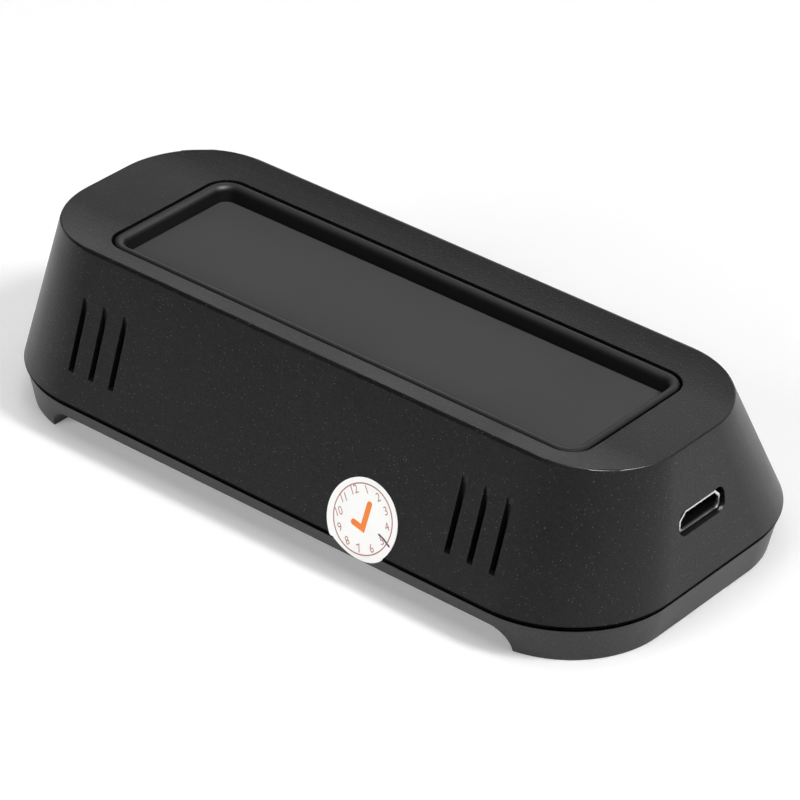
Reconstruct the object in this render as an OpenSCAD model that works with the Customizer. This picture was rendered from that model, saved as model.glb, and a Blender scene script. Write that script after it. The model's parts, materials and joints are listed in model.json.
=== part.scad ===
// Solar tire pressure monitor for a dashboard: the receiver and display unit.
// +X is the charging port's end, -Y the vented back, +Y the sloped display front, +Z up.
// The origin is on the resting surface, under the middle of the two feet.

/* [Body] */
// Length of the case at its widest outline
body_l = 92; // [84:0.5:112]
// Width of the case at its widest outline
body_w = 45.8; // [44:0.2:56]
// Height of the top face above the resting surface
body_h = 22.8; // [22:0.2:28]
// Height of the widest outline, where the top cover's rim turns in
rim_z = 5.2; // [5.1:0.1:6]
// Height of the split between the base and the top cover
split_z = 4.65; // [4.5:0.05:4.8]
// Corner radius of the widest outline
body_r = 14.3; // [12:0.1:16]
// Wall of the ends and the back
wall = 2; // [1.6:0.1:2.4]
// Wall of the display front
front_wall = 3; // [2.8:0.1:3.6]
// Radius of the round on the top edge
edge_r = 0.3; // [0.2:0.05:1]

/* [Slopes and top face] */
// How far each end leans in from the widest outline to the top face
end_lean = 2.5; // [1.5:0.1:3.2]
// How far the vented back leans in
back_lean = 5.7; // [4.6:0.1:6.4]
// How far the display front leans in
front_lean = 10.1; // [9:0.1:10.6]
// Corner radius of the top face
top_r = 11.5; // [9:0.5:13]
// Depth of the shallow hollow along the middle of the top face
hollow_depth = 0.4; // [0.35:0.05:0.8]
// Width of the hollow's flat middle
hollow_flat = 12; // [8:0.5:14]

/* [Solar window] */
// Length of the solar window in the top cover
window_l = 69.7; // [60:0.1:74]
// Width of the solar window
window_w = 21.8; // [18:0.2:22.4]
// Corner radius of the solar window
window_r = 3.2; // [2.6:0.1:4]
// Width of the rounded bezel between the window and the solar panel
bezel_w = 1.45; // [1.45:0.05:2.2]
// Depth of the solar panel's face below the bezel
panel_depth = 2; // [1.6:0.1:3]
// Thickness of the solar panel
panel_t = 1.2; // [0.8:0.1:1.6]
// How far the window is set towards the charging port
window_shift = 1.4; // [0:0.1:2]
// How far the window is set towards the vented back
window_back = 1.2; // [0.8:0.1:1.8]

/* [Feet] */
// How far the base is drawn in where it rests
foot_in = 1.25; // [0.4:0.05:1.6]
// Clear height of the notch between the feet
notch_h = 2.9; // [2:0.1:3.2]
// Length of the notch between the feet, on the resting surface
notch_l = 69; // [60:0.5:72]

/* [Vents] */
// Width of one vent slot
vent_w = 0.8; // [0.6:0.1:1.6]
// Height of one vent slot
vent_h = 8.6; // [6:0.2:10]
// Distance between neighbouring slots
vent_pitch = 3.13; // [2.4:0.01:4]
// Distance from the case's middle to the middle slot of each group
vent_x = 28.2; // [22:0.2:32]
// Height of the lower end of the slots
vent_z = 8.9; // [8:0.1:10]

/* [Display] */
// Length of the display lens
lens_l = 66; // [58:0.5:72]
// Height of the display lens along the slope
lens_h = 13.4; // [11:0.1:14.4]
// Thickness of the display lens
lens_t = 1.1; // [0.8:0.1:1.4]

/* [Port and button] */
// Width of the opening for the charging plug
port_w = 8.5; // [8.2:0.1:9.6]
// Height of the opening for the charging plug
port_h = 3.1; // [3:0.05:3.8]
// Distance of the port and the button from the case's middle, towards the back
port_back = 1.8; // [0:0.1:3]
// Length of the set button
button_w = 7; // [5:0.1:8]
// Height of the set button
button_h = 3; // [2.4:0.1:3.4]
// How far the set button stands out of the end wall
button_out = 0.9; // [0.7:0.1:1]
// Travel of the set button
button_travel = 0.4; // [0.2:0.05:0.5]

/* [Inside] */
// Height of the circuit board's lower face
board_z = 10.9; // [10.6:0.1:11.4]
// Thickness of the circuit board
board_t = 1.2; // [0.8:0.1:1.6]
// Length of the battery
battery_l = 36; // [28:0.5:40]
// Width of the battery
battery_w = 20; // [16:0.5:22]
// Thickness of the battery
battery_t = 4.2; // [3.2:0.1:4.4]
// Radius of a case screw's shank
screw_r = 1; // [0.8:0.05:1.2]
// Diameter of the date sticker
sticker_d = 9.85; // [8:0.05:10]
// Height of the date sticker's middle
sticker_z = 8.1; // [8.1:0.1:10]
// Distance of the date sticker from the case's middle
sticker_x = 13.3; // [0:0.1:20]

/* [Hidden] */
$fn = 96;

// Clearances
seam = 0.22;         // between the two covers, all along the split
seat = 0.05;         // between pieces that rest on each other
slip = 0.15;         // round a piece that slides or drops into its seat
screw_clear = 0.05;  // round a screw's shank

// Case
slice = 0.01;        // thickness of the outlines that the case is lofted through
rim_in = 0.3;        // how far the rounded rim turns in at the split
base_inset = 0.3;    // how far the base stays inside the widest outline at the split
foot_edge = 0.2;     // softened edge round the feet
roof = 2;
floor_t = 1.4;
lip_h = 0.9;
lip_t = 1.2;
lip_gap = 0.2;       // between the base's lip and the walls that it guides

// Case screws
screw_x = body_l / 2 - 7.5;
screw_back = 9.4 - body_w / 2;
screw_front = body_w / 2 - 10.4;
screw_post_r = 2.8;
screw_head_r = 1.9;
screw_head_h = 1.3;
screw_sink = 1.6;
screw_tip_z = 11;

// Solar window
bezel_gap = 0.16;    // fine line between the window and the bezel
bezel_rise = 0.05;   // of the bezel above the hollow's flat middle
bezel_outer_r = 0.65; // round of the bezel towards the window
bezel_inner_r = 0.75; // round of the bezel towards the panel
tray_wall = 1.4;
tape_t = 0.3;
lead_r = 0.45;
lead_pitch = 1.4;
lead_x = -24;

// Board
board_room = 0.8;    // between the board's ends and the end walls
board_back = -15.95;
board_r = 10;
board_top = board_z + board_t;
board_post_r = 2.2;
board_screws_at = [[-30, 3], [30, 3], [-12, -11.5], [12, -11.5]];

// Display stack, measured inwards from the face of the sloped front
lens_gasket_t = 0.2;
lens_r = 3;
lcd_l = 62;
lcd_h = 12.2;
lcd_t = 1.6;
lcd_gasket_t = 0.3;
lcd_rim = 1.4;
backlight_t = 2.3;
view_l = 57;
view_h = 9;
view_r = 1.2;

// Charging port: outline of the metal shell, its lower side wide and its upper corners cut
shell_w = 7.5;
shell_h = 2.55;
shell_t = 0.24;
shell_l = 5.2;
shell_cut = 0.95;
shell_sink = 0.35;
port_z = board_top + seat + shell_h / 2;

// Button and its switch
key_flange = 0.8;
key_flange_t = 0.6;
key_face = 0.25;     // softened edge of the key's face
switch_l = 3.2;
switch_w = 6;
switch_h = 3.4;
plunger_w = 2.8;
plunger_h = 1.5;
plunger_out = 1.2;
plunger_in = 0.7;

sticker_t = 0.12;
battery_pad_t = 0.4;

hollow_rim = 0.4;    // flat rim left along the back and the front edge

// Share of the way from the widest outline to the top face
function rise(z) = (z - rim_z) / (body_h - rim_z);
function back_y(z) = back_lean * rise(z) - body_w / 2;
function front_y(z) = body_w / 2 - front_lean * rise(z);
function middle_y(z) = (back_y(z) + front_y(z)) / 2;
function end_x(z) = body_l / 2 - end_lean * rise(z);
function corner_r(z) = body_r + (top_r - body_r) * rise(z);
front_tilt = atan(front_lean / (body_h - rim_z));
back_tilt = atan(back_lean / (body_h - rim_z));
// Rounded rim of the top cover: height and how far it is turned in, from its widest line to the split
function rim_height(a) = rim_z - (rim_z - split_z - seam) * sin(a);
function rim_turn(a) = rim_in * (1 - cos(a));

board_l = 2 * (end_x(board_top) - wall - board_room);
pocket_l = window_l - 2 * (bezel_gap + bezel_w);
pocket_w = window_w - 2 * (bezel_gap + bezel_w);
pocket_r = window_r - bezel_gap - bezel_w;
window_y = middle_y(body_h) - window_back;
hollow_z = body_h - hollow_depth;
hollow_side = (front_y(body_h) - back_y(body_h) - hollow_flat) / 2 - hollow_rim;
hollow_r = (hollow_side * hollow_side + hollow_depth * hollow_depth) / (2 * hollow_depth);
bezel_z = hollow_z + bezel_rise;
panel_z = bezel_z - panel_depth - panel_t;
pocket_z = panel_z - tape_t;
tray_z = pocket_z - 1.3;
base_floor_z = notch_h + floor_t;
lens_z = (rim_z + body_h) / 2;
lcd_depth = front_wall * cos(front_tilt) + seat + lcd_gasket_t;
backlight_depth = lcd_depth + lcd_t + seat;
battery_z = base_floor_z + battery_pad_t;
flange_x = -end_x(port_z) + wall + 0.45;
key_x = -end_x(port_z) - button_out;
plunger_x = flange_x + key_flange_t;
switch_x = plunger_x + plunger_out;

// A rounded rectangle
module plan(l, w, r) {
    square([l - 2 * r, w], center = true);
    square([l, w - 2 * r], center = true);
    for (x = [-1, 1], y = [-1, 1]) translate([x * (l / 2 - r), y * (w / 2 - r)]) circle(r);
}

module quarter_disc(r) {
    intersection() {
        circle(r);
        square(r);
    }
}

module plate(l, w, r, t) {
    linear_extrude(t) plan(l, w, r);
}

// A bar of rounded outline along X, from x to x + l, with its outline l_y by l_z
module bar_x(x, l, l_y, l_z, r) {
    translate([x, 0, 0]) rotate([90, 0, 90]) plate(l_y, l_z, r, l);
}

// Outline of the top cover at height z, drawn in by inset
module cover_slice(z, inset = 0) {
    translate([0, middle_y(z), z])
        plate(2 * (end_x(z) - inset), front_y(z) - back_y(z) - 2 * inset, corner_r(z) - inset, slice);
}

// The shallow hollow of the top face: a flat middle that curves up to the back and the front edge
module hollow_cut() {
    translate([0, middle_y(body_h), hollow_z]) rotate([90, 0, 90])
        linear_extrude(2 * body_l, center = true) {
            translate([-hollow_flat / 2, 0]) square([hollow_flat, hollow_r]);
            for (side = [0, 1]) mirror([side, 0]) translate([hollow_flat / 2, hollow_r])
                mirror([0, 1]) quarter_disc(hollow_r);
        }
}

module cover_outside() {
    hull() {
        for (a = [0:30:90]) translate([0, 0, rim_height(a) - rim_z]) cover_slice(rim_z, rim_turn(a));
        cover_slice(body_h - edge_r);
        for (a = [30:30:90])
            cover_slice(body_h - edge_r * (1 - sin(a)) - slice, edge_r * (1 - cos(a)));
    }
}

// Outline of the room inside the top cover at height z
module room_slice(z) {
    translate([0, middle_y(z) - (front_wall - wall) / 2, z])
        plate(2 * (end_x(z) - wall), front_y(z) - back_y(z) - wall - front_wall,
            corner_r(z) - wall, slice);
}

module cover_room() {
    hull() {
        room_slice(split_z - slice);
        room_slice(body_h - roof);
    }
}

// Stands a shape on the sloped front: its XY plane is the front's face, +Z points out of it
module on_front(depth = 0) {
    translate([0, front_y(lens_z), lens_z]) rotate([front_tilt - 90, 0, 0]) translate([0, 0, -depth])
        children();
}

module at_window() {
    translate([window_shift, window_y, 0]) children();
}

module at_case_screws() {
    for (x = [-screw_x, screw_x], y = [screw_back, screw_front]) translate([x, y, 0]) children();
}

module at_board_screws() {
    for (p = board_screws_at) translate([p.x, p.y, 0]) children();
}

module at_port() {
    translate([0, -port_back, port_z]) children();
}

// Sweeps a profile round a rounded outline; the profile's x runs inwards from the outline
module round_outline(l, w, r) {
    for (turn = [0, 180]) rotate([0, 0, turn]) {
        translate([l / 2, 0, 0]) rotate([90, 0, 0]) linear_extrude(w - 2 * r, center = true)
            mirror([1, 0]) children();
        translate([0, w / 2, 0]) rotate([90, 0, 90]) linear_extrude(l - 2 * r, center = true)
            mirror([1, 0]) children();
        translate([l / 2 - r, w / 2 - r, 0]) rotate_extrude(angle = 90)
            translate([r, 0]) mirror([1, 0]) children();
        translate([r - l / 2, w / 2 - r, 0]) rotate([0, 0, 90]) rotate_extrude(angle = 90)
            translate([r, 0]) mirror([1, 0]) children();
    }
}

// Slots drawn straight down out of the sloped back, so they fade out at their upper end
module vent_cuts() {
    inner_y = back_y(vent_z + vent_h) + 0.1;
    for (side = [-1, 1], i = [-1:1])
        translate([side * vent_x + i * vent_pitch - vent_w / 2, inner_y - wall - body_w / 2, vent_z])
            cube([vent_w, wall + body_w / 2, vent_h]);
}

module lens_cut() {
    on_front(lens_t + lens_gasket_t) plate(lens_l + 2 * slip, lens_h + 2 * slip, lens_r + slip, 6);
    on_front(front_wall + 1) plate(view_l, view_h, view_r, front_wall);
}

module key_outline(grow) {
    plan(button_w + 2 * grow, button_h + 2 * grow, button_h / 2 + grow - slice);
}

module top_cover() {
    color("#232325") difference() {
        union() {
            difference() {
                cover_outside();
                cover_room();
                hollow_cut();
            }
            at_window() translate([0, 0, tray_z])
                plate(window_l + 2 * tray_wall, window_w + 2 * tray_wall, window_r + tray_wall,
                    body_h - roof - tray_z + 0.5);
            intersection() {
                cover_outside();
                at_case_screws() translate([0, 0, split_z + seam])
                    cylinder(r = screw_post_r, h = body_h - roof - split_z);
            }
            at_board_screws() translate([0, 0, board_top + seat])
                cylinder(r = board_post_r, h = tray_z - board_top);
        }
        at_window() translate([0, 0, pocket_z]) plate(window_l, window_w, window_r, body_h);
        vent_cuts();
        lens_cut();
        at_port() bar_x(body_l / 4, body_l, port_w, port_h, port_h / 2 - 0.35);
        at_port() translate([-body_l, 0, 0]) rotate([90, 0, 90])
            linear_extrude(body_l * 0.75) key_outline(slip);
        at_case_screws() translate([0, 0, split_z])
            cylinder(r = screw_r + screw_clear, h = screw_tip_z - split_z + 0.5);
        at_board_screws() translate([0, 0, board_top]) cylinder(r = screw_r + screw_clear, h = 4);
        at_window() translate([lead_x, 0, tray_z - 1]) cylinder(r = lead_pitch, h = 3);
    }
}

// Outline of the base at height z, drawn in by inset
module base_slice(z, inset = 0) {
    share = z / split_z;
    drawn_in = foot_in + (base_inset - foot_in) * share + inset;
    translate([0, 0, z]) plate(body_l - 2 * drawn_in, body_w - 2 * drawn_in, body_r - drawn_in, slice);
}

module notch_cut() {
    flat = notch_l - 2 * notch_h;
    rotate([90, 0, 0]) linear_extrude(2 * body_w, center = true) {
        translate([-flat / 2, -1]) square([flat, notch_h + 1]);
        for (x = [-1, 1]) translate([x * flat / 2, 0]) circle(notch_h);
        translate([-notch_l / 2, -1]) square([notch_l, 1]);
    }
}

// Outline of the base's lip, which stands inside the top cover's walls, drawn in by inset
module lip_plate(inset, t) {
    side = wall + lip_gap + lip_h * (end_x(rim_z) - end_x(rim_z + 1));
    back = wall + lip_gap + lip_h * tan(back_tilt);
    front = front_wall + lip_gap + lip_h * tan(front_tilt);
    translate([0, (back - front) / 2, 0])
        plate(body_l - 2 * side - 2 * inset, body_w - back - front - 2 * inset,
            body_r - wall - inset, t);
}

module base_cover() {
    pocket_x = notch_l / 2 + wall;
    color("#2b2b2d") difference() {
        union() {
            difference() {
                hull() {
                    base_slice(0, foot_edge);
                    base_slice(foot_edge * 0.3, foot_edge * 0.3);
                    base_slice(foot_edge);
                    base_slice(split_z - slice);
                }
                translate([0, 0, base_floor_z]) lip_plate(lip_t, body_h);
                intersection() {
                    translate([0, 0, floor_t]) lip_plate(lip_t, body_h);
                    for (x = [-1, 1])
                        translate([x * (pocket_x + body_l / 2), 0, 0])
                            cube([body_l, body_w, body_h], center = true);
                }
            }
            difference() {
                translate([0, 0, base_floor_z]) lip_plate(0, split_z + lip_h - base_floor_z);
                lip_plate(lip_t, body_h);
            }
            at_case_screws() translate([0, 0, foot_edge])
                cylinder(r = screw_post_r, h = split_z - foot_edge);
        }
        notch_cut();
        at_case_screws() {
            translate([0, 0, -1]) cylinder(r = screw_head_r + slip, h = screw_sink + 1);
            cylinder(r = screw_r + slip, h = split_z + 1);
        }
        at_case_screws() translate([0, 0, split_z]) cylinder(r = screw_post_r + slip, h = 2);
    }
}

// A smooth frame of rounded section between the window and the panel
module solar_bezel() {
    deep = bezel_z - pocket_z;
    flat = bezel_w - bezel_inner_r;
    color("#252528") at_window() translate([0, 0, bezel_z])
        round_outline(window_l - 2 * bezel_gap, window_w - 2 * bezel_gap, window_r - bezel_gap) {
            translate([0, -deep]) square([bezel_w, deep - bezel_inner_r]);
            translate([0, -bezel_inner_r]) square([flat, bezel_inner_r - bezel_outer_r]);
            translate([bezel_outer_r, -bezel_outer_r]) square([flat - bezel_outer_r, bezel_outer_r]);
            translate([bezel_outer_r, -bezel_outer_r]) mirror([1, 0]) quarter_disc(bezel_outer_r);
            translate([flat, -bezel_inner_r]) quarter_disc(bezel_inner_r);
        }
}

module solar_panel() {
    color("#2e2f33") at_window() translate([0, 0, panel_z])
        plate(pocket_l - 2 * slip, pocket_w - 2 * slip, pocket_r - slip, panel_t);
}

module solar_tape() {
    color("#d9d4c8") at_window() translate([0, 0, pocket_z]) difference() {
        plate(pocket_l - 2 * slip, pocket_w - 2 * slip, pocket_r - slip, tape_t);
        translate([0, 0, -1]) plate(pocket_l - 8, pocket_w - 8, pocket_r - slip, tape_t + 2);
    }
}

module solar_leads() {
    color("#b3262a") at_window() for (i = [-0.5, 0.5])
        translate([lead_x + i * lead_pitch, 0, board_top]) cylinder(r = lead_r, h = panel_z - board_top);
}

module display_lens() {
    color("#101114") on_front(lens_t) plate(lens_l, lens_h, lens_r, lens_t);
}

module lens_gasket() {
    color("#303030") on_front(lens_t + lens_gasket_t) difference() {
        plate(lens_l, lens_h, lens_r, lens_gasket_t);
        translate([0, 0, -1]) plate(view_l + 1, view_h + 1, view_r, 3);
    }
}

module lcd_gasket() {
    color("#303030") on_front(lcd_depth) difference() {
        plate(lcd_l, lcd_h, lcd_rim, lcd_gasket_t);
        translate([0, 0, -1]) plate(view_l + 1, view_h + 1, view_r, 3);
    }
}

module lcd_glass() {
    color("#5a6468") on_front(lcd_depth + lcd_t) plate(lcd_l, lcd_h, lcd_rim / 2, lcd_t);
}

module lcd_backlight() {
    color("#e8e8e2") on_front(backlight_depth + backlight_t)
        plate(lcd_l - 2, lcd_h - 0.6, lcd_rim, backlight_t);
}

flex_w = 22;
flex_t = 0.2;
flex_z = board_top + 0.6;
flex_room = 0.5;     // between the flex and the board's front edge
flex_fold = 3;       // length of the flex that lies on the display's back
connector_w = flex_w + 3;
connector_l = 3.4;
connector_h = 1.1;
connector_y = 3.6;

// Place in the YZ plane that is so far behind the display's face and so far down its slope
function behind(depth, down) = [
    front_y(lens_z) - depth * cos(front_tilt) + down * sin(front_tilt),
    lens_z - depth * sin(front_tilt) - down * cos(front_tilt)];
// Distance down the slope at which that place is at height z
function down_to(depth, z) = (behind(depth, 0).y - z) / cos(front_tilt);

// The board ends just behind the flex
board_front = behind(backlight_depth + backlight_t + seat + flex_t,
    down_to(backlight_depth + backlight_t + seat + flex_t, board_top)).x - flex_room;

module lcd_flex() {
    start = connector_y + connector_l;
    face = backlight_depth + backlight_t + seat;
    skin = face + flex_t;
    low = down_to(face, flex_z) + flex_fold;
    color("#c88a3a") rotate([90, 0, 90]) linear_extrude(flex_w, center = true)
        polygon([[start, flex_z], behind(skin, down_to(skin, flex_z)), behind(skin, low),
            behind(face, low), behind(face, down_to(face, flex_z + flex_t)),
            [start, flex_z + flex_t]]);
}

module flex_connector() {
    color("#e9e4d4") translate([-connector_w / 2, connector_y, board_top])
        cube([connector_w, connector_l, connector_h]);
}

module main_board() {
    color("#1f5a38") difference() {
        translate([0, (board_front + board_back) / 2, board_z])
            plate(board_l, board_front - board_back, board_r, board_t);
        at_case_screws() cylinder(r = screw_post_r + 0.4, h = body_h);
        at_board_screws() cylinder(r = screw_r + slip, h = body_h);
        translate([switch_x - body_l, -port_back - button_w / 2 - key_flange - 0.4, 0])
            cube([body_l - 0.1, button_w + 2 * key_flange + 0.8, body_h]);
    }
}

// Outline of the port's shell, drawn in by inset
module shell_outline(inset = 0) {
    w = shell_w / 2 - inset;
    low = inset - shell_h / 2;
    high = shell_h / 2 - inset;
    cut = shell_cut - inset * 0.4;
    foot = 0.35;
    polygon([[foot - w, low], [w - foot, low], [w, low + foot], [w, high - cut], [w - cut, high],
        [cut - w, high], [-w, high - cut], [-w, low + foot]]);
}

shell_x = end_x(port_z) - shell_sink - shell_l;

module usb_shell() {
    color("#c9c9cc") at_port() translate([shell_x, 0, 0]) rotate([90, 0, 90]) linear_extrude(shell_l)
        difference() {
            shell_outline();
            shell_outline(shell_t);
        }
}

tongue_w = 5;
tongue_t = 0.6;
tongue_z = 0.1;
tongue_root = 1.6;

module usb_tongue() {
    color("#161616") at_port() translate([shell_x, 0, 0]) {
        rotate([90, 0, 90]) linear_extrude(tongue_root) shell_outline(shell_t + 0.02);
        translate([0, -tongue_w / 2, tongue_z]) cube([shell_l - 0.9, tongue_w, tongue_t]);
    }
}

module usb_contacts() {
    contact_w = 0.3;
    contact_t = 0.12;
    color("#d8b45a") at_port() for (i = [-2:2])
        translate([shell_x + tongue_root, i * 0.65 - contact_w / 2, tongue_z - contact_t])
            cube([shell_l - 1.2 - tongue_root, contact_w, contact_t]);
}

// A chip with a row of leads along two opposite sides
module chip(at, body, leads, pitch) {
    lead = [0.9, 0.35, 0.25];
    translate([at.x, at.y, board_top]) {
        translate([-body.x / 2, -body.y / 2, 0.1]) cube(body);
        for (side = [-1, 1], i = [0:leads - 1])
            translate([side * (body.x / 2 + lead.x / 2 - 0.1) - lead.x / 2,
                (i - (leads - 1) / 2) * pitch - lead.y / 2, 0]) cube(lead);
    }
}

module controller_chip() {
    color("#1a1a1c") chip([4, -4], [7, 9, 1.4], 10, 0.8);
}

module receiver_chip() {
    color("#1a1a1c") chip([-20.5, -9.5], [4, 5, 1.2], 6, 0.8);
}

module charger_chip() {
    color("#1a1a1c") chip([31, -3], [3.9, 4.9, 1.2], 4, 1.1);
}

module crystal() {
    color("#c0c0c2") translate([-14.5, -5, board_top]) plate(3.2, 5, 0.6, 1.1);
}

module inductor() {
    color("#3a3a3d") translate([22, 0, board_top]) difference() {
        plate(5, 5, 1, 2.4);
        translate([0, 0, 2]) cylinder(r = 1.5, h = 1);
    }
}

module buzzer() {
    buzzer_r = 4.5;
    buzzer_h = 4.4;
    color("#1b1b1b") translate([27.5, -10.6, board_top]) difference() {
        cylinder(r = buzzer_r, h = buzzer_h);
        translate([0, 0, buzzer_h - 1]) cylinder(r = 1, h = 2);
    }
}

// A tube of constant radius swept along points, its rings square to the path
module tube(points, r, sides) {
    last = len(points) - 1;
    function unit(v) = v / norm(v);
    function heading(i) = unit(points[min(i + 1, last)] - points[max(i - 1, 0)]);
    function ring(i) =
        let (d = heading(i), a = unit(cross(d, abs(d.x) < 0.9 ? [1, 0, 0] : [0, 1, 0])), b = cross(d, a))
        [for (k = [0:sides - 1]) points[i] + r * (cos(360 * k / sides) * a + sin(360 * k / sides) * b)];
    rings = [for (i = [0:last]) each ring(i)];
    walls = [for (i = [0:last - 1], k = [0:sides - 1])
        let (a = i * sides + k, b = i * sides + (k + 1) % sides)
        each [[a, b, b + sides], [a, b + sides, a + sides]]];
    ends = [[for (k = [sides - 1:-1:0]) k], [for (k = [0:sides - 1]) last * sides + k]];
    polyhedron(rings, concat([for (w = walls) [w[2], w[1], w[0]]],
        [for (e = ends) [for (k = [sides - 1:-1:0]) e[k]]]));
}

// Helical antenna, lying along X on the board
antenna_r = 2.1;
antenna_wire = 0.35;
antenna_turns = 7;
antenna_pitch = 1.6;
antenna_at = [-36, -4.5];

module antenna_coil() {
    steps = 10;
    axis_z = board_top + antenna_r + antenna_wire + seat;
    helix = [for (i = [0:antenna_turns * steps])
        let (turn = i / steps)
        [antenna_at.x + antenna_pitch * turn, antenna_at.y + antenna_r * sin(360 * turn),
            axis_z - antenna_r * cos(360 * turn)]];
    color("#c98a4b") translate([0, -1, 0]) tube(helix, antenna_wire, 6);
}

module vibration_switch() {
    can_r = 1.6;
    color("#b9b9bd") translate([-26, 0.5, board_top + can_r]) rotate([0, 90, 0]) cylinder(r = can_r, h = 7);
}

module switch_body() {
    color("#141414") translate([switch_x, -port_back, 0]) difference() {
        translate([0, -switch_w / 2, board_top]) cube([switch_l, switch_w, switch_h]);
        translate([-1, -plunger_w / 2 - 0.1, port_z - plunger_h / 2 - 0.1])
            cube([plunger_in + button_travel + 1.2, plunger_w + 0.2, plunger_h + 0.2]);
    }
}

module switch_plunger() {
    color("#e6e2d6") translate([plunger_x, -port_back - plunger_w / 2, port_z - plunger_h / 2])
        cube([plunger_out + plunger_in, plunger_w, plunger_h]);
}

module set_button() {
    color("#2f2f32") at_port() rotate([90, 0, 90]) {
        translate([0, 0, key_x]) linear_extrude(key_face + slice) key_outline(-key_face);
        translate([0, 0, key_x + key_face]) linear_extrude(flange_x - key_x - key_face) key_outline(0);
        translate([0, 0, flange_x]) linear_extrude(key_flange_t) key_outline(key_flange);
    }
}

module battery() {
    color("#9aa0a6") translate([-2, -3, battery_z]) plate(battery_l, battery_w, 1.5, battery_t);
}

module battery_pad() {
    color("#d9d4c8") translate([-2, -3, base_floor_z])
        plate(battery_l - 6, battery_w - 6, 1, battery_pad_t);
}

// Two wires out of the battery's end, turning up into the board
module battery_leads() {
    bend = 1.6;
    run = 1.5;
    start = battery_l / 2 - 2;
    lead_z = battery_z + battery_t / 2;
    color("#b3262a") for (i = [-0.5, 0.5]) translate([start, -3 + i * 2 * lead_pitch, lead_z]) {
        rotate([0, 90, 0]) cylinder(r = lead_r, h = run);
        translate([run, 0, bend]) rotate([90, 0, 0]) rotate([0, 0, -90])
            rotate_extrude(angle = 90) translate([bend, 0]) circle(lead_r);
        translate([run + bend, 0, bend]) cylinder(r = lead_r, h = board_z - lead_z - bend);
    }
}

module pan_screw(head_r, head_h, length) {
    difference() {
        union() {
            cylinder(r = head_r, h = head_h);
            cylinder(r = screw_r, h = head_h + length);
        }
        for (a = [0, 90]) rotate([0, 0, a]) cube([head_r * 1.1, 0.5, 1.2], center = true);
    }
}

module board_screws() {
    head_h = 1.1;
    color("#bfc0c4") at_board_screws() translate([0, 0, board_z - head_h]) pan_screw(1.8, head_h, 4.4);
}

module case_screws() {
    color("#8f9095") at_case_screws() translate([0, 0, screw_sink - screw_head_h])
        pan_screw(screw_head_r, screw_head_h, screw_tip_z - screw_sink);
}

// A round sticker over the split: its upper part on the sloped back, its lower part folded onto the base
module date_sticker() {
    function base_y(z) = foot_in + (base_inset - foot_in) * z / split_z - body_w / 2;
    low_z = notch_h + 0.05;
    high_z = rim_z + sticker_d;
    lie = 0.02;
    inner = concat([[back_y(high_z) - lie, high_z]],
        [for (a = [0:30:90]) [rim_turn(a) - body_w / 2 - lie, rim_height(a)]],
        [[base_y(split_z) - lie, split_z], [base_y(low_z) - lie, low_z]]);
    outer = [for (i = [len(inner) - 1:-1:0]) inner[i] - [sticker_t, 0]];
    color("#f4f1ea") intersection() {
        rotate([90, 0, 90]) linear_extrude(2 * body_l, center = true) polygon(concat(inner, outer));
        translate([sticker_x, back_y(sticker_z), sticker_z]) rotate([90 - back_tilt, 0, 0])
            cylinder(d = sticker_d, h = 8, center = true);
    }
}

top_cover();
base_cover();
solar_bezel();
solar_panel();
solar_tape();
solar_leads();
display_lens();
lens_gasket();
lcd_gasket();
lcd_glass();
lcd_backlight();
lcd_flex();
flex_connector();
main_board();
usb_shell();
usb_tongue();
usb_contacts();
controller_chip();
receiver_chip();
crystal();
charger_chip();
inductor();
buzzer();
antenna_coil();
vibration_switch();
switch_body();
switch_plunger();
set_button();
battery();
battery_pad();
battery_leads();
board_screws();
case_screws();
date_sticker();
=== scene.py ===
"""Looks of the solar tire pressure monitor: finishes, sticker print, studio and camera."""
import json
import math

import bmesh
import bpy
from mathutils import Matrix, Vector
from mathutils.bvhtree import BVHTree


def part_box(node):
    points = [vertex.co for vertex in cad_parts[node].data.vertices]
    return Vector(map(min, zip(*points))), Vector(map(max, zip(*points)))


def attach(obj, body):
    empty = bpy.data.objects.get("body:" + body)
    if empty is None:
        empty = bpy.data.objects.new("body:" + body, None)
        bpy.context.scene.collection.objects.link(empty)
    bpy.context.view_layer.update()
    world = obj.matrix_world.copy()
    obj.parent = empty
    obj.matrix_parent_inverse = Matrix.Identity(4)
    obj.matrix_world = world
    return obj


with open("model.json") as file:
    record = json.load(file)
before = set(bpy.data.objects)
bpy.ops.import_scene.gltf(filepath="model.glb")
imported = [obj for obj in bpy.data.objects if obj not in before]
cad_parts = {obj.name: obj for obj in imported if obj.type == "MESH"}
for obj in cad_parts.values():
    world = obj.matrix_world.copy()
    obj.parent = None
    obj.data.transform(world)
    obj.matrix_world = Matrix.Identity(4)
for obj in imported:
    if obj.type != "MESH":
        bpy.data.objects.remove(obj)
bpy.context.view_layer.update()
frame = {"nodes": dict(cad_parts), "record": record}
nodes = frame["nodes"]
MM = 0.001

# Sizes on the object are in millimetres, unless a line says otherwise.

# The vented back that the sticker lies on: the case's depth and height, the back's lean, the rim's height
CASE_W, CASE_H, BACK_LEAN, RIM_Z = 45.8, 22.8, 5.7, 5.2
STICKER_X, STICKER_Z = 13.3, 8.1

# Where the print is cut to follow the sticker's folds, measured up from the dial's middle
FOLD_TOP, FOLD_STEP, FOLD_CUTS = -3.2, 0.015, 30

# How far the sticker's paper and its print lie inside the sticker, and the direction that the print is laid along
# and how far out that starts
PAPER_IN, PRINT_IN = 0.014, 0.004
PRINT_LAID = (0.528, -0.665, 0.529)
PRINT_START = 3

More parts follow.
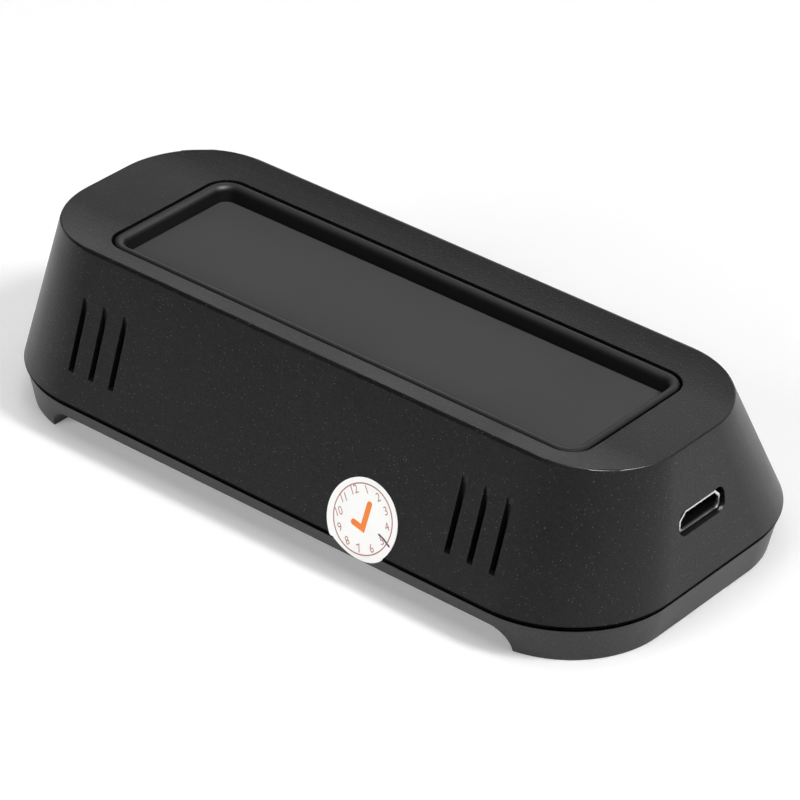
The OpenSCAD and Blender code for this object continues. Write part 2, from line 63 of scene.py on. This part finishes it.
# The dial printed on the sticker: its turn in degrees, ring, numbers, tick and pen stroke
DIAL_TURN, DIAL_UP = 37.0, 0.15
RING_R, RING_W = 4.08, 0.15
NUMBER_R, NUMBER_H = 3.42, 1.05
NUMBER_SHARE, NUMBER_NARROW = 0.72, 0.8
TICK, TICK_W = [(-1.35, 0.1), (-0.4, -0.95), (1.5, 1.3)], 0.72
PEN, PEN_W = [(2.55, -0.79), (3.3, -1.05), (4.23, -1.57)], 0.22

# The sharp edges round the top: their least height, their least bend in degrees, and how they are rounded
TOP_EDGE_Z, TOP_EDGE_BEND = 21.6, 55.0
TOP_EDGE_R, TOP_EDGE_STEPS = 0.16, 3

# The solar window in the top: its corners, the fine gap round the bezel, its middle and half its size
WINDOW_R, BEZEL_GAP, WINDOW_CLEAR = 3.2, 0.16, 1
bezel_low, bezel_high = (Vector(corner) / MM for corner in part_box("solar_bezel"))
WINDOW_MIDDLE = (bezel_low + bezel_high) / 2
WINDOW_HALF = (bezel_high - bezel_low) / 2 + Vector((1, 1, 1)) * BEZEL_GAP

# The bands of painted shade, black and matt: next to the covers' split, where the bezel rolls down, on its inner
# wall, and inside the port
PARTING_LOW, PARTING_HIGH, PARTING_FADE = 4.40, 5.38, 0.15
LINE_REACH, LINE_FADE = 0.9, 0.6
WALL_START, WALL_FADE, WALL_DARK = 1.2, 0.3, 0.5
PORT_MOUTH, PORT_FADE = 44.42, 0.3

# The display's view area on the lens
VIEW_L, VIEW_H, VIEW_Z, VIEW_FADE = 57.0, 7.6, 13.7, 0.2

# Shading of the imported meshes: points that are one, in metres, and angles in degrees
SAME_POINT, FLAT_BEND, CREASE_BEND = 2e-6, 0.5, 35

# The part of a noise's range that is spread over dark to light
MIDDLE_LOW, MIDDLE_HIGH = 0.35, 0.65

# The studio, in metres and degrees: its floor, and the backdrop with its sloping top edge
FLOOR_HALF, FLOOR_WHITE, FLOOR_GLOW = 2.5, 0.90, 0.165
BACKDROP_R, BACKDROP_LOW, BACKDROP_STEPS = 0.9, 0.16, 26
BACKDROP_START, BACKDROP_END = 75, 205
BACKDROP_WHITE, BACKDROP_GLOW = 0.9, 1.0
EDGE_TURN, EDGE_HIGH, EDGE_FALL, EDGE_LEAST, EDGE_MOST = 124, 0.565, 0.0143, 0.26, 0.72
PAPER_ROUGH, PAPER_SPECULAR = 0.9, 0.1
WORLD_LIGHT = 0.05

# The camera at the photo's viewing angle, in metres, and its lens
CAMERA_PLACE = (0.25837, -0.32467, 0.26693)
CAMERA_RIGHT = (0.77100, 0.63612, 0.03006)
CAMERA_UP = (-0.35660, 0.39214, 0.84798)
CAMERA_BACK = (0.52763, -0.66451, 0.52918)
LENS, SENSOR, NEAREST = 189.42, 36, 0.01


def new_group(name, inputs, outputs):
    """A shader group with its named inputs and their values, and its named outputs."""
    group = bpy.data.node_groups.new(name, "ShaderNodeTree")
    for label, value in inputs:
        socket = group.interface.new_socket(label, in_out="INPUT", socket_type="NodeSocketFloat")
        socket.default_value = value
    for label in outputs:
        group.interface.new_socket(label, in_out="OUTPUT", socket_type="NodeSocketFloat")
    start = group.nodes.new("NodeGroupInput")
    end = group.nodes.new("NodeGroupOutput")
    return group, start, end


def add(tree, kind, links=(), **values):
    """A node with its plain settings and its sockets: a value is set, a socket is linked."""
    made = tree.nodes.new(kind)
    for key, value in values.items():
        setattr(made, key, value)
    for socket, value in links:
        if isinstance(value, bpy.types.NodeSocket):
            tree.links.new(value, made.inputs[socket])
        else:
            made.inputs[socket].default_value = value
    return made


def place_on_object(tree):
    """The place on the object, the same in every view and pose."""
    return add(tree, "ShaderNodeTexCoord").outputs["Object"]


def math_node(tree, operation, *values):
    return add(tree, "ShaderNodeMath", list(enumerate(values)), operation=operation).outputs[0]


def clamped(tree, value):
    return math_node(tree, "MINIMUM", math_node(tree, "MAXIMUM", value, 0.0), 1.0)


def spread(tree, value, low, high, to_low, to_high):
    """The value's range from low to high, spread over to_low to to_high."""
    return add(tree, "ShaderNodeMapRange", [("Value", value), ("From Min", low), ("From Max", high),
                                            ("To Min", to_low), ("To Max", to_high)]).outputs[0]


def moulded_grain_group():
    """Fine eroded grain of a mould, its slow mottling, and small bright dots that are painted glints."""
    group, start, end = new_group("moulded grain and painted glints",
                                  [("Grain Scale", 4500), ("Speck Scale", 3000), ("Speck Share", 0.03)],
                                  ["Height", "Mottle", "Glint"])
    place = place_on_object(group)
    fine = add(group, "ShaderNodeTexNoise", [("Vector", place), ("Scale", start.outputs["Grain Scale"]),
                                             ("Detail", 2.0), ("Roughness", 0.62)])
    slow = add(group, "ShaderNodeTexNoise", [("Vector", place), ("Scale", 55.0), ("Detail", 4.0),
                                             ("Roughness", 0.6)])
    # Painted glints: a share of the cells gets a small bright dot, standing in for glints off the grain.
    cells = add(group, "ShaderNodeTexVoronoi", [("Vector", place), ("Scale", start.outputs["Speck Scale"])])
    lucky = add(group, "ShaderNodeSeparateColor", [("Color", cells.outputs["Color"])]).outputs[0]
    chosen = math_node(group, "LESS_THAN", lucky, start.outputs["Speck Share"])
    core = spread(group, cells.outputs["Distance"], 0.05, 0.16, 1.0, 0.0)
    group.links.new(fine.outputs["Fac"], end.inputs["Height"])
    group.links.new(slow.outputs["Fac"], end.inputs["Mottle"])
    group.links.new(math_node(group, "MULTIPLY", chosen, core), end.inputs["Glint"])
    return group


def handling_group():
    """Where hands have polished or dulled a surface, and faint fine scratches."""
    group, start, end = new_group("handling marks", [("Smudge Scale", 70), ("Scratch Scale", 900)],
                                  ["Smudge", "Scratch"])
    place = place_on_object(group)
    smudge = add(group, "ShaderNodeTexNoise", [("Vector", place), ("Scale", start.outputs["Smudge Scale"]),
                                               ("Detail", 5.0), ("Roughness", 0.55), ("Distortion", 0.6)])
    stretch = add(group, "ShaderNodeMapping", [("Vector", place), ("Rotation", (0.2, 0.4, 0.7)),
                                               ("Scale", (1.0, 0.06, 0.3))])
    strokes = add(group, "ShaderNodeTexNoise", [("Vector", stretch.outputs[0]),
                                                ("Scale", start.outputs["Scratch Scale"]), ("Detail", 1.0)])
    group.links.new(smudge.outputs["Fac"], end.inputs["Smudge"])
    group.links.new(spread(group, strokes.outputs["Fac"], 0.68, 0.78, 0.0, 1.0), end.inputs["Scratch"])
    return group


def parting_group():
    """The band next to the split of the covers, painted black and matt as the shade of the seam."""
    group, start, end = new_group("painted seam shade", [("Low", PARTING_LOW * MM), ("High", PARTING_HIGH * MM),
                                                   ("Fade", PARTING_FADE * MM)], ["Line"])
    height = add(group, "ShaderNodeSeparateXYZ", [("Vector", place_on_object(group))]).outputs["Z"]
    low, high, fade = (start.outputs[label] for label in ("Low", "High", "Fade"))
    above = math_node(group, "DIVIDE", math_node(group, "SUBTRACT", height, low), fade)
    below = math_node(group, "DIVIDE", math_node(group, "SUBTRACT", high, height), fade)
    group.links.new(clamped(group, math_node(group, "MINIMUM", above, below)), end.inputs["Line"])
    return group


def aside_of_window(tree, places):
    """How far a place lies to the side of the window's middle, along X and along Y."""
    return [math_node(tree, "ABSOLUTE", math_node(tree, "SUBTRACT", places.outputs[axis], middle * MM))
            for axis, middle in zip("XY", WINDOW_MIDDLE)]


def window_line_group():
    """Painted shade: the dark band where the bezel rolls down to the window's edge, and its inner wall, half as
    dark.
    """
    group, start, end = new_group("painted window shade", [("Reach", LINE_REACH * MM), ("Fade", LINE_FADE * MM),
                                                  ("Wall", WALL_START * MM), ("Wall Fade", WALL_FADE * MM),
                                                  ("Wall Dark", WALL_DARK)], ["Line"])
    places = add(group, "ShaderNodeSeparateXYZ", [("Vector", place_on_object(group))])
    past = [math_node(group, "SUBTRACT", aside, (half - WINDOW_R) * MM)
            for aside, half in zip(aside_of_window(group, places), WINDOW_HALF)]
    corner = add(group, "ShaderNodeCombineXYZ", [(axis, math_node(group, "MAXIMUM", value, 0.0))
                                                 for axis, value in zip("XY", past)]).outputs[0]
    reach = add(group, "ShaderNodeVectorMath", [(0, corner)], operation="LENGTH").outputs["Value"]
    straight = math_node(group, "MINIMUM", math_node(group, "MAXIMUM", *past), 0.0)
    outside = math_node(group, "SUBTRACT", math_node(group, "ADD", reach, straight), WINDOW_R * MM)
    rolled = math_node(group, "DIVIDE", math_node(group, "ADD", outside, start.outputs["Reach"]),
                       start.outputs["Fade"])
    inward = math_node(group, "SUBTRACT", math_node(group, "MULTIPLY", outside, -1.0), start.outputs["Wall"])
    wall = clamped(group, math_node(group, "DIVIDE", inward, start.outputs["Wall Fade"]))
    line = math_node(group, "MAXIMUM", clamped(group, rolled),
                     math_node(group, "MULTIPLY", wall, start.outputs["Wall Dark"]))
    group.links.new(line, end.inputs["Line"])
    return group


def port_depth_group():
    """How far a place lies inside the charging port, where the steel's colour is painted darker as shade."""
    group, start, end = new_group("painted port shade", [("Mouth", PORT_MOUTH * MM), ("Fade", PORT_FADE * MM)], ["Deep"])
    along = add(group, "ShaderNodeSeparateXYZ", [("Vector", place_on_object(group))]).outputs["X"]
    inside = math_node(group, "SUBTRACT", start.outputs["Mouth"], along)
    shade_in_port = clamped(group, math_node(group, "DIVIDE", inside, start.outputs["Fade"]))
    group.links.new(shade_in_port, end.inputs["Deep"])
    return group


def view_area_group():
    """The part of the lens that the display shows through, inside its dark border."""
    group, start, end = new_group("view area", [("Half Length", VIEW_L / 2 * MM), ("Half Height", VIEW_H / 2 * MM),
                                                ("Middle", VIEW_Z * MM), ("Fade", VIEW_FADE * MM)], ["Shown"])
    places = add(group, "ShaderNodeSeparateXYZ", [("Vector", place_on_object(group))])
    aside = math_node(group, "ABSOLUTE", places.outputs["X"])
    above = math_node(group, "ABSOLUTE", math_node(group, "SUBTRACT", places.outputs["Z"], start.outputs["Middle"]))
    inside = math_node(group, "MINIMUM", math_node(group, "SUBTRACT", start.outputs["Half Length"], aside),
                       math_node(group, "SUBTRACT", start.outputs["Half Height"], above))
    shown = clamped(group, math_node(group, "DIVIDE", inside, start.outputs["Fade"]))
    group.links.new(shown, end.inputs["Shown"])
    return group


GRAIN_AND_GLINTS = moulded_grain_group()
HANDLING = handling_group()
SEAM_SHADE = parting_group()
WINDOW_SHADE = window_line_group()
PORT_SHADE = port_depth_group()
VIEW_AREA = view_area_group()


def blended(tree, factor, below, above):
    """One colour over another by a factor; each colour is three numbers or a socket."""
    mix = add(tree, "ShaderNodeMix", data_type="RGBA")
    for socket, colour in (("A", below), ("B", above)):
        if isinstance(colour, bpy.types.NodeSocket):
            tree.links.new(colour, mix.inputs[socket])
        else:
            mix.inputs[socket].default_value = (*colour, 1)
    tree.links.new(factor, mix.inputs["Factor"])
    return mix.outputs["Result"]


def mask_of(tree, group):
    return add(tree, "ShaderNodeGroup", node_tree=group).outputs[0]


def finish(name, dark, light, rough, metal=0.0, grain=4500.0, depth=0.00003, bump=0.4, glint_share=0.0,
           glint_colour=(0.5, 0.5, 0.5), fleck=0.0, scratch=0.0, line=None, shade_in_port=None, shown=None, **sockets):
    """A finish whose colour runs from dark to light over the mottling, and by the share of fleck over the fine
    grain, with small bright dots over a share of it that are painted glints, and whose roughness follows the
    handling. A line is a group whose mask paints shade, black and matt; the colour inside the port is painted
    shade there, shown is the colour in the view area, and other values go on the shader's own sockets."""
    made = bpy.data.materials.new(name)
    made.use_nodes = True
    tree = made.node_tree
    shader = tree.nodes["Principled BSDF"]
    marks = add(tree, "ShaderNodeGroup", node_tree=GRAIN_AND_GLINTS)
    marks.inputs["Grain Scale"].default_value = grain
    marks.inputs["Speck Share"].default_value = glint_share
    hands = add(tree, "ShaderNodeGroup", node_tree=HANDLING)
    shade = spread(tree, marks.outputs["Mottle"], MIDDLE_LOW, MIDDLE_HIGH, 0.0, 1.0)
    if fleck:
        fine = spread(tree, marks.outputs["Height"], 0.40, 0.62, 0.0, 1.0)
        shade = math_node(tree, "ADD", math_node(tree, "MULTIPLY", shade, 1 - fleck),
                          math_node(tree, "MULTIPLY", fine, fleck))
    colour = blended(tree, shade, dark, light)
    # Painted glints: small bright dots laid over the colour.
    if glint_share:
        colour = blended(tree, marks.outputs["Glint"], colour, glint_colour)
    roughness = spread(tree, hands.outputs["Smudge"], MIDDLE_LOW, MIDDLE_HIGH, rough[0], rough[1])
    if shade_in_port:
        colour = blended(tree, mask_of(tree, PORT_SHADE), colour, shade_in_port)
    if shown:
        colour = blended(tree, mask_of(tree, VIEW_AREA), colour, shown)
    shader.inputs["Metallic"].default_value = metal
    # Painted shade: the line's mask turns the colour black and the surface rough and metallic, so it shows no
    # sheen.
    if line:
        shade_mask = mask_of(tree, line)
        colour = blended(tree, shade_mask, colour, (0, 0, 0))
        roughness = math_node(tree, "MAXIMUM", roughness, shade_mask)
        tree.links.new(shade_mask, shader.inputs["Metallic"])
    tree.links.new(colour, shader.inputs["Base Color"])
    if scratch:
        roughness = math_node(tree, "SUBTRACT", roughness,
                              math_node(tree, "MULTIPLY", hands.outputs["Scratch"], scratch))
    tree.links.new(roughness, shader.inputs["Roughness"])
    relief = add(tree, "ShaderNodeBump", [("Strength", bump), ("Distance", depth),
                                          ("Height", marks.outputs["Height"])])
    tree.links.new(relief.outputs[0], shader.inputs["Normal"])
    for socket, value in sockets.items():
        label = socket.replace("_", " ").title().replace("Ior", "IOR")
        shader.inputs[label].default_value = value
    made.diffuse_color = (*light, 1)
    return made


FINISHES = {
    # The covers' plastics carry painted glints and, next to the seam, painted shade.
    "case_plastic": finish("case plastic", (0.0003, 0.0003, 0.0004), (0.0085, 0.0085, 0.0087), (0.32, 0.39),
                           grain=4600.0, depth=0.00005, bump=0.55, glint_share=0.38, glint_colour=(0.20, 0.20, 0.20),
                           fleck=0.85, line=SEAM_SHADE, ior=1.385),
    # Its colours are lighter than the case plastic's: a painted reflection of the white floor on the base's band.
    "base_plastic": finish("base plastic", (0.0090, 0.0090, 0.0092), (0.0250, 0.0250, 0.0253), (0.34, 0.41),
                           grain=4600.0, depth=0.00005, bump=0.5, glint_share=0.12, glint_colour=(0.20, 0.20, 0.20),
                           fleck=0.85, line=SEAM_SHADE, ior=1.45),
    "bezel_plastic": finish("bezel satin", (0.0110, 0.0110, 0.0112), (0.0135, 0.0135, 0.0137), (0.50, 0.58),
                            # The bezel is painted black where it rolls down to the window, and half as dark on its
                            # inner wall, as shade.
                            grain=6000.0, depth=0.00002, bump=0.12, line=WINDOW_SHADE, ior=1.45),
    "solar_panel": finish("solar film", (0.063, 0.063, 0.064), (0.068, 0.068, 0.069), (0.70, 0.78),
                          grain=6000.0, depth=0.00002, bump=0.12, specular_ior_level=0.05),
    "foam_tape": finish("foam tape", (0.62, 0.60, 0.54), (0.74, 0.72, 0.66), (0.8, 0.9), grain=2500.0,
                        depth=0.0001),
    "wire": finish("wire insulation", (0.38, 0.02, 0.02), (0.48, 0.04, 0.035), (0.35, 0.45)),
    "smoked_lens": finish("smoked lens", (0.003, 0.003, 0.0035), (0.005, 0.005, 0.0055), (0.05, 0.10),
                          bump=0.02, scratch=0.02, shown=(0.017, 0.020, 0.018), coat_weight=0.4),
    "gasket": finish("gasket foam", (0.02, 0.02, 0.02), (0.035, 0.035, 0.035), (0.8, 0.9), grain=2500.0,
                     depth=0.0001),
    "lcd_glass": finish("display glass", (0.16, 0.18, 0.17), (0.19, 0.21, 0.20), (0.06, 0.1), bump=0.02),
    "light_guide": finish("light guide", (0.72, 0.72, 0.68), (0.82, 0.82, 0.78), (0.3, 0.4)),
    "flex": finish("flex film", (0.45, 0.19, 0.03), (0.58, 0.26, 0.05), (0.25, 0.35), bump=0.1),
    "connector": finish("ivory plastic", (0.66, 0.62, 0.52), (0.76, 0.73, 0.63), (0.4, 0.5)),
    "board": finish("solder mask", (0.008, 0.08, 0.03), (0.012, 0.11, 0.045), (0.25, 0.38), bump=0.15),
    # Inside the port the steel is painted dark, as shade.
    "port_steel": finish("plated steel", (0.60, 0.60, 0.61), (0.72, 0.72, 0.73), (0.22, 0.34), metal=1.0,
                         bump=0.08, scratch=0.1, shade_in_port=(0.07, 0.07, 0.07)),
    "port_plastic": finish("socket plastic", (0.006, 0.006, 0.006), (0.010, 0.010, 0.010), (0.4, 0.5)),
    "contact_gold": finish("contact plating", (0.68, 0.44, 0.12), (0.80, 0.55, 0.18), (0.25, 0.35), metal=1.0,
                           bump=0.05),
    "chip": finish("chip moulding", (0.012, 0.012, 0.013), (0.020, 0.020, 0.021), (0.5, 0.6)),
    "can_metal": finish("can metal", (0.50, 0.50, 0.51), (0.62, 0.62, 0.63), (0.25, 0.4), metal=1.0, bump=0.05,
                        scratch=0.1),
    "copper": finish("copper wire", (0.52, 0.22, 0.09), (0.68, 0.33, 0.15), (0.25, 0.4), metal=1.0, bump=0.05),
    "key_plastic": finish("key plastic", (0.010, 0.010, 0.0105), (0.015, 0.015, 0.0155), (0.36, 0.44),
                          grain=5200.0, bump=0.2),
    "battery_foil": finish("battery foil", (0.42, 0.44, 0.46), (0.54, 0.56, 0.58), (0.3, 0.45), metal=1.0,
                           grain=1500.0, depth=0.0002, bump=0.3),
    "screw": finish("dark zinc", (0.26, 0.26, 0.27), (0.36, 0.36, 0.37), (0.3, 0.45), metal=1.0, bump=0.1,
                    scratch=0.15),
    "sticker": finish("coated paper", (0.90, 0.895, 0.885), (0.95, 0.945, 0.935), (0.5, 0.62), grain=3000.0,
                      bump=0.15),
}

ORANGE_INK = finish("orange ink", (0.80, 0.185, 0.018), (0.90, 0.235, 0.028), (0.5, 0.6), bump=0.1)
BROWN_INK = finish("brown ink", (0.34, 0.15, 0.09), (0.46, 0.21, 0.13), (0.5, 0.6), bump=0.1)
RED_INK = finish("red ink", (0.33, 0.13, 0.12), (0.45, 0.19, 0.17), (0.5, 0.6), bump=0.1)
PEN_INK = finish("pen ink", (0.04, 0.03, 0.04), (0.08, 0.06, 0.07), (0.5, 0.6), bump=0.1)


def top_edge_group():
    """Marks the sharp edges round the top of the case, outside the window, for rounding."""
    tree = bpy.data.node_groups.new("top edge", "GeometryNodeTree")
    for way in ("INPUT", "OUTPUT"):
        tree.interface.new_socket("Geometry", in_out=way, socket_type="NodeSocketGeometry")
    start = tree.nodes.new("NodeGroupInput")
    end = tree.nodes.new("NodeGroupOutput")
    places = add(tree, "ShaderNodeSeparateXYZ", [(0, add(tree, "GeometryNodeInputPosition").outputs[0])])
    past = [math_node(tree, "GREATER_THAN", aside, (half + WINDOW_CLEAR) * MM)
            for aside, half in zip(aside_of_window(tree, places), WINDOW_HALF)]
    outside = math_node(tree, "MAXIMUM", *past)
    high = math_node(tree, "GREATER_THAN", places.outputs["Z"], TOP_EDGE_Z * MM)
    bend = add(tree, "GeometryNodeInputMeshEdgeAngle").outputs["Unsigned Angle"]
    sharp = math_node(tree, "GREATER_THAN", bend, math.radians(TOP_EDGE_BEND))
    marked = math_node(tree, "MULTIPLY", math_node(tree, "MULTIPLY", high, sharp), outside)
    mark = add(tree, "GeometryNodeStoreNamedAttribute", domain="EDGE", data_type="FLOAT")
    mark.inputs["Name"].default_value = "bevel_weight_edge"
    tree.links.new(start.outputs[0], mark.inputs["Geometry"])
    tree.links.new(marked, mark.inputs["Value"])
    tree.links.new(mark.outputs["Geometry"], end.inputs[0])
    return tree


def round_top_edge(obj):
    flat = obj.modifiers.new("flat faces", "DECIMATE")
    flat.decimate_type = "DISSOLVE"
    flat.angle_limit = math.radians(FLAT_BEND)
    obj.modifiers.new("top edge", "NODES").node_group = top_edge_group()
    edge = obj.modifiers.new("soft edge", "BEVEL")
    edge.limit_method = "WEIGHT"
    edge.width = TOP_EDGE_R * MM
    edge.segments = TOP_EDGE_STEPS
    edge.use_clamp_overlap = False


def lower_paper(obj):
    thin = obj.modifiers.new("paper below the print", "DISPLACE")
    thin.mid_level = 0
    thin.strength = -PAPER_IN * MM


def dress(node, slot):
    """The node's finish, and shading that is smooth over its curves and crisp at its edges."""
    obj = nodes[node]
    obj.data.materials.clear()
    obj.data.materials.append(FINISHES[slot])
    for face in obj.data.polygons:
        face.use_smooth = True
    join = obj.modifiers.new("joined skin", "WELD")
    join.merge_threshold = SAME_POINT
    if node == "top_cover":
        round_top_edge(obj)
    if node == "date_sticker":
        lower_paper(obj)
    crease = obj.modifiers.new("crisp edges", "EDGE_SPLIT")
    crease.split_angle = math.radians(CREASE_BEND)
    crease.use_edge_sharp = False
    obj.modifiers.new("smooth skin", "WEIGHTED_NORMAL").keep_sharp = False


for part in frame["record"]["subparts"]:
    dress(part["node"], part["material_slot"])


def sticker_frame():
    """The middle of the dial on the sloped back, its directions across and up the slope, and the one that
    the print is laid along, slanting so that the print runs on unbroken from the rim to the base."""
    slope = math.atan2(BACK_LEAN, CASE_H - RIM_Z)
    across = Vector((1, 0, 0))
    up = Vector((0, math.sin(slope), math.cos(slope)))
    back_y = BACK_LEAN * (STICKER_Z - RIM_Z) / (CASE_H - RIM_Z) - CASE_W / 2
    middle = Vector((STICKER_X, back_y, STICKER_Z)) + up * DIAL_UP
    return middle * MM, across * MM, up * MM, Vector(PRINT_LAID).normalized()


def skin_of(node):
    mesh = nodes[node].data
    return BVHTree.FromPolygons([v.co for v in mesh.vertices], [p.vertices for p in mesh.polygons])


STICKER_FRAME = sticker_frame()
STICKER_SKIN = skin_of("date_sticker")


def on_sticker(across, up):
    """Place on the sticker's face of a point so far across and so far up it."""
    middle, side, rise, out = STICKER_FRAME
    start = middle + side * across + rise * up + out * PRINT_START * MM
    spot = STICKER_SKIN.ray_cast(start, -out)[0]
    if spot is None:
        spot = STICKER_SKIN.find_nearest(start)[0]
    return spot - out * PRINT_IN * MM


def linked(obj):
    bpy.context.scene.collection.objects.link(obj)
    return obj


def lay_print(name, shape, ink):
    """A flat shape in the sticker's own plane, cut finely where the sticker folds, and laid on it."""
    for i in range(FOLD_CUTS):
        fold = FOLD_TOP - FOLD_STEP * i
        bmesh.ops.bisect_plane(shape, geom=shape.verts[:] + shape.edges[:] + shape.faces[:],
                               plane_co=(0, fold, 0), plane_no=(0, 1, 0))
    for vert in shape.verts:
        vert.co = on_sticker(vert.co.x, vert.co.y)
    mesh = bpy.data.meshes.new(name)
    shape.to_mesh(mesh)
    shape.free()
    mesh.materials.append(ink)
    obj = linked(bpy.data.objects.new(name, mesh))
    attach(obj, "case")


def band(points, width, steps=8):
    """A flat band of that width along the points, mitred at its bends and round at its ends."""
    points = [Vector(p) for p in points]
    along = [(b - a).normalized() for a, b in zip(points, points[1:])]
    shape = bmesh.new()
    sides = []
    for i, point in enumerate(points):
        before, after = along[max(i - 1, 0)], along[min(i, len(along) - 1)]
        mitre = (before + after).normalized()
        reach = width / 2 / mitre.dot(before)
        side = Vector((-mitre.y, mitre.x)) * reach
        sides.append([shape.verts.new((*(point + side * s), 0)) for s in (1, -1)])
    for a, b in zip(sides, sides[1:]):
        shape.faces.new((a[1], b[1], b[0], a[0]))
    caps = ((*sides[0], points[0], -along[0]), (*reversed(sides[-1]), points[-1], along[-1]))
    for first, last, point, heading in caps:
        start = math.atan2(heading.y, heading.x) - math.pi / 2
        turns = [start + math.pi * k / steps for k in range(1, steps)]
        arc = [point + Vector((math.cos(turn), math.sin(turn))) * width / 2 for turn in turns]
        shape.faces.new([first] + [shape.verts.new((*p, 0)) for p in arc] + [last])
    return shape


def ring_shape(radius, width, steps=96):
    shape = bmesh.new()
    turns = [2 * math.pi * i / steps for i in range(steps)]
    inner, outer = ([shape.verts.new((r * math.cos(turn), r * math.sin(turn), 0)) for turn in turns]
                    for r in (radius - width / 2, radius + width / 2))
    for i in range(steps):
        k = (i + 1) % steps
        shape.faces.new((inner[i], inner[k], outer[k], outer[i]))
    return shape


def month_numbers(turn):
    """The twelve numbers of a month dial, upright in the dial and turned with it."""
    shape = bmesh.new()
    for number in range(1, 13):
        curve = bpy.data.curves.new(f"number_{number}", "FONT")
        curve.body = str(number)
        curve.align_x = "CENTER"
        curve.align_y = "CENTER"
        curve.size = NUMBER_H / NUMBER_SHARE
        curve.resolution_u = 3
        holder = linked(bpy.data.objects.new(curve.name, curve))
        bpy.context.view_layer.update()
        mesh = bpy.data.meshes.new_from_object(holder.evaluated_get(bpy.context.evaluated_depsgraph_get()))
        angle = math.pi / 2 - 2 * math.pi * number / 12
        place = Matrix.Translation((NUMBER_R * math.cos(angle), NUMBER_R * math.sin(angle), 0))
        narrow = Matrix.Diagonal((NUMBER_NARROW, 1, 1, 1))
        mesh.transform(Matrix.Rotation(math.radians(turn), 4, "Z") @ place @ narrow)
        shape.from_mesh(mesh)
        bpy.data.objects.remove(holder)
        bpy.data.meshes.remove(mesh)
        bpy.data.curves.remove(curve)
    return shape


def turned(points, turn):
    return [Matrix.Rotation(math.radians(turn), 2) @ Vector(p) for p in points]


lay_print("sticker_ring", ring_shape(RING_R, RING_W), RED_INK)
lay_print("sticker_numbers", month_numbers(DIAL_TURN), BROWN_INK)
lay_print("sticker_tick", band(turned(TICK, DIAL_TURN), TICK_W), ORANGE_INK)
lay_print("sticker_pen_mark", band(PEN, PEN_W), PEN_INK)


def area_light(name, place, size, watts, mirrored=True, lighting=True):
    """A square lamp aimed at the object; it may be left out of reflections, or show in them only."""
    lamp = bpy.data.lights.new(name, "AREA")
    lamp.energy = watts
    lamp.shape = "SQUARE"
    lamp.size = size
    obj = linked(bpy.data.objects.new(name, lamp))
    obj.location = place
    obj.rotation_euler = (Vector() - Vector(place)).to_track_quat("-Z", "Y").to_euler()
    obj.visible_camera = False
    obj.visible_glossy = mirrored
    obj.visible_diffuse = lighting


def staged(name, points, faces, white, glow, see_through_back=False):
    """A piece of the studio: a plain pale sheet that camera and gloss see a little brighter than it is lit."""
    mesh = bpy.data.meshes.new(name)
    mesh.from_pydata(points, [], faces)
    obj = linked(bpy.data.objects.new(name, mesh))
    made = bpy.data.materials.new(name + " paper")
    made.use_nodes = True
    tree = made.node_tree
    shader = tree.nodes["Principled BSDF"]
    shader.inputs["Base Color"].default_value = (white, white, white, 1)
    shader.inputs["Roughness"].default_value = PAPER_ROUGH
    shader.inputs["Specular IOR Level"].default_value = PAPER_SPECULAR
    path = add(tree, "ShaderNodeLightPath")
    seen = math_node(tree, "MAXIMUM", path.outputs["Is Camera Ray"],
                     math_node(tree, "MAXIMUM", path.outputs["Is Glossy Ray"], path.outputs["Is Transmission Ray"]))
    shader.inputs["Emission Color"].default_value = (1, 1, 1, 1)
    tree.links.new(math_node(tree, "MULTIPLY", seen, glow), shader.inputs["Emission Strength"])
    if see_through_back:
        clear = add(tree, "ShaderNodeBsdfTransparent")
        back = add(tree, "ShaderNodeNewGeometry").outputs["Backfacing"]
        choice = add(tree, "ShaderNodeMixShader", [(0, back), (1, shader.outputs[0]), (2, clear.outputs[0])])
        tree.links.new(choice.outputs[0], tree.nodes["Material Output"].inputs["Surface"])
    mesh.materials.append(made)


def white_floor(half):
    corners = [(-half, -half, 0), (half, -half, 0), (half, half, 0), (-half, half, 0)]
    staged("floor", corners, [(0, 1, 2, 3)], FLOOR_WHITE, FLOOR_GLOW, see_through_back=True)


def white_backdrop():
    """A curved sheet that hangs round the display side of the object, its top edge sloping down to the left."""
    points, faces = [], []
    for i in range(BACKDROP_STEPS + 1):
        turn = BACKDROP_START + (BACKDROP_END - BACKDROP_START) * i / BACKDROP_STEPS
        high = min(max(EDGE_HIGH - EDGE_FALL * (turn - EDGE_TURN), EDGE_LEAST), EDGE_MOST)
        x = BACKDROP_R * math.cos(math.radians(turn))
        y = BACKDROP_R * math.sin(math.radians(turn))
        points += [(x, y, BACKDROP_LOW), (x, y, high)]
    for i in range(BACKDROP_STEPS):
        faces.append((2 * i, 2 * i + 1, 2 * i + 3, 2 * i + 2))
    staged("backdrop", points, faces, BACKDROP_WHITE, BACKDROP_GLOW)


def studio_world():
    world = bpy.data.worlds.new("studio")
    world.use_nodes = True
    back = world.node_tree.nodes["Background"]
    back.inputs["Color"].default_value = (1, 1, 1, 1)
    back.inputs["Strength"].default_value = WORLD_LIGHT
    bpy.context.scene.world = world


def camera_at_photo():
    lens = bpy.data.cameras.new("camera")
    lens.sensor_width = SENSOR
    lens.sensor_fit = "HORIZONTAL"
    lens.lens = LENS
    lens.clip_start = NEAREST
    obj = linked(bpy.data.objects.new("camera", lens))
    turn = Matrix((CAMERA_RIGHT, CAMERA_UP, CAMERA_BACK)).transposed()
    obj.matrix_world = Matrix.Translation(CAMERA_PLACE) @ turn.to_4x4()
    bpy.context.scene.camera = obj


white_floor(FLOOR_HALF)
white_backdrop()
studio_world()
area_light("right softbox", (0.62, 0.15, 0.77), 0.2, 4.8)
area_light("top softbox", (0, 0, 1.0), 0.8, 4.0, mirrored=False)
area_light("edge softbox", (0.54, -0.17, 0.82), 0.4, 32.0, lighting=False)
area_light("front fill", (-0.20, -1.00, 0.42), 0.7, 7.2, mirrored=False)
camera_at_photo()
bpy.context.scene.view_settings.view_transform = "Standard"
